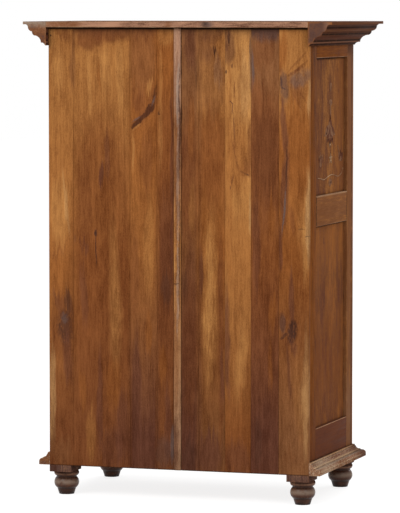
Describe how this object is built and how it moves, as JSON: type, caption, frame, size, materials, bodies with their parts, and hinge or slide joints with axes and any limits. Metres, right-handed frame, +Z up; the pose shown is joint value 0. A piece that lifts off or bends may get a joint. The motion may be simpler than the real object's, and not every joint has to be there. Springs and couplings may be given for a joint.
{
  "type": "glazed cabinet",
  "caption": "Tall teak cabinet on turned bun feet, with moulded cornice and base, panelled sides, boarded back and a pair of glazed doors that lock and bolt.",
  "frame": {"origin": "on the floor, under the middle of the cabinet's outline", "axes": "+Z up, -Y the way the doors face, +X the right of a person who faces the doors"},
  "size_m": [1.146, 0.678, 1.7],
  "materials": {
    "case_wood": "red-brown oiled teak, worn edges",
    "back_wood": "golden-brown oiled teak boards",
    "moulding_wood": "dark red-brown moulded teak",
    "foot_wood": "dark polished turned teak",
    "inner_wood": "plain oiled teak",
    "door_glass": "clear float glass",
    "brass": "aged brass",
    "lock_steel": "dull steel"
  },
  "bodies": {
    "case": {"back_boards_left": "back_wood", "back_boards_right": "back_wood", "back_bottom_rail": "case_wood", "back_centre_strip": "back_wood", "back_post_left": "case_wood", "back_post_right": "case_wood", "back_top_rail": "case_wood", "base_moulding_front": "moulding_wood", "base_moulding_left": "moulding_wood", "base_moulding_right": "moulding_wood", "bottom_board": "inner_wood", "cornice_front": "moulding_wood", "cornice_left": "moulding_wood", "cornice_right": "moulding_wood", "foot_back_left": "foot_wood", "foot_back_right": "foot_wood", "foot_front_left": "foot_wood", "foot_front_right": "foot_wood", "front_bottom_rail": "case_wood", "front_post_left": "case_wood", "front_post_right": "case_wood", "front_top_rail": "case_wood", "post_hinge_leaves": "brass", "shelf_cleats": "inner_wood", "shelves": "inner_wood", "side_bottom_rail_left": "case_wood", "side_bottom_rail_right": "case_wood", "side_lower_panel_left": "case_wood", "side_lower_panel_right": "case_wood", "side_middle_rail_left": "case_wood", "side_middle_rail_right": "case_wood", "side_top_rail_left": "case_wood", "side_top_rail_right": "case_wood", "side_upper_panel_left": "case_wood", "side_upper_panel_right": "case_wood", "top_board": "moulding_wood"},
    "left_door": {"left_door_hinge_stile": "case_wood", "left_door_meeting_stile": "case_wood", "left_door_top_rail": "case_wood", "left_door_middle_rail": "case_wood", "left_door_bottom_rail": "case_wood", "left_door_glass": "door_glass", "left_door_beads": "case_wood", "left_door_hinge_leaves": "brass", "lock_keep": "brass", "bolt_guides": "brass"},
    "right_door": {"right_door_hinge_stile": "case_wood", "right_door_meeting_stile": "case_wood", "right_door_top_rail": "case_wood", "right_door_middle_rail": "case_wood", "right_door_bottom_rail": "case_wood", "right_door_glass": "door_glass", "right_door_beads": "case_wood", "right_door_hinge_leaves": "brass", "lock_case": "lock_steel", "escutcheon": "brass"},
    "key": {"key": "lock_steel"},
    "lock_bolt": {"lock_bolt": "lock_steel"},
    "top_bolt": {"top_bolt": "brass"},
    "bottom_bolt": {"bottom_bolt": "brass"}
  },
  "joints": [
    {"name": "left_door_swing", "type": "hinge", "parent": "case", "child": "left_door", "pos_m": [-0.42425, -0.2555, 0.8725], "axis": [0, 0, -1], "range_deg": [0, 110]},
    {"name": "right_door_swing", "type": "hinge", "parent": "case", "child": "right_door", "pos_m": [0.42425, -0.2555, 0.8725], "axis": [0, 0, 1], "range_deg": [0, 110]},
    {"name": "key_turn", "type": "hinge", "parent": "right_door", "child": "key", "pos_m": [0.03, -0.22, 0.88], "axis": [0, 1, 0], "range_deg": [0, 180]},
    {"name": "lock_bolt_slide", "type": "slide", "parent": "right_door", "child": "lock_bolt", "axis": [-1, 0, 0], "range_m": [0, 0.016]},
    {"name": "top_bolt_slide", "type": "slide", "parent": "left_door", "child": "top_bolt", "axis": [0, 0, 1], "range_m": [0, 0.02]},
    {"name": "bottom_bolt_slide", "type": "slide", "parent": "left_door", "child": "bottom_bolt", "axis": [0, 0, -1], "range_m": [0, 0.02]}
  ],
  "couplings": [
    {"joint": "lock_bolt_slide", "follows": "key_turn", "m_per_rad": 0.00509}
  ]
}
